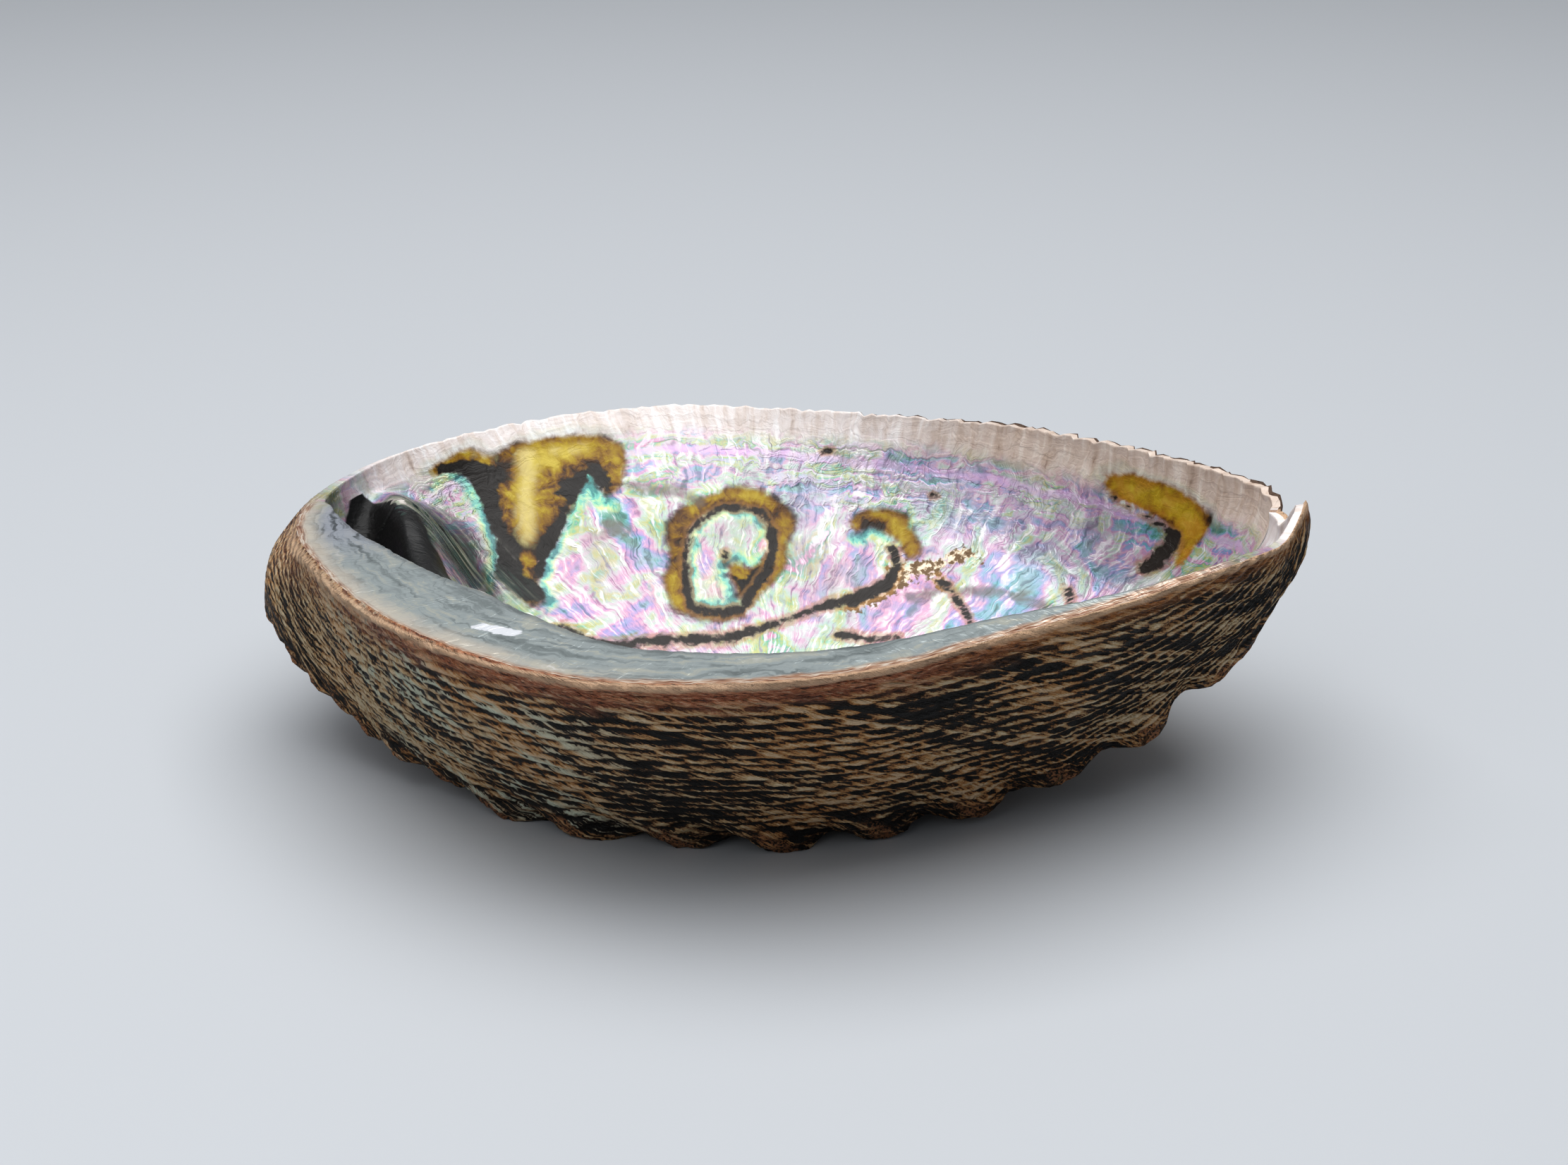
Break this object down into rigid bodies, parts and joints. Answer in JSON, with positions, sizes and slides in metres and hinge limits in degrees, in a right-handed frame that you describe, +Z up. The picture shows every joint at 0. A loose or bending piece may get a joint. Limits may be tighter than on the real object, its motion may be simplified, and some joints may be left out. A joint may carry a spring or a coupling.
{
  "type": "abalone shell",
  "caption": "Ear-shaped abalone shell lying hollow side up as a shallow bowl, with a flat inner shelf, a low spire and a row of pores along one shoulder.",
  "frame": {"origin": "centre of the bounding box in plan, at the height of the surface the shell rests on", "axes": "+X towards the front end with the newest pore and the upturned tip, -Y towards the side with the inner shelf and the row of pores, +Z up out of the hollow"},
  "size_m": [0.1586, 0.1176, 0.0428],
  "materials": {
    "shell": "rough brown and cream corded outside, glossy iridescent mother of pearl inside"
  },
  "bodies": {
    "root": {"shell": "shell"}
  },
  "joints": []
}
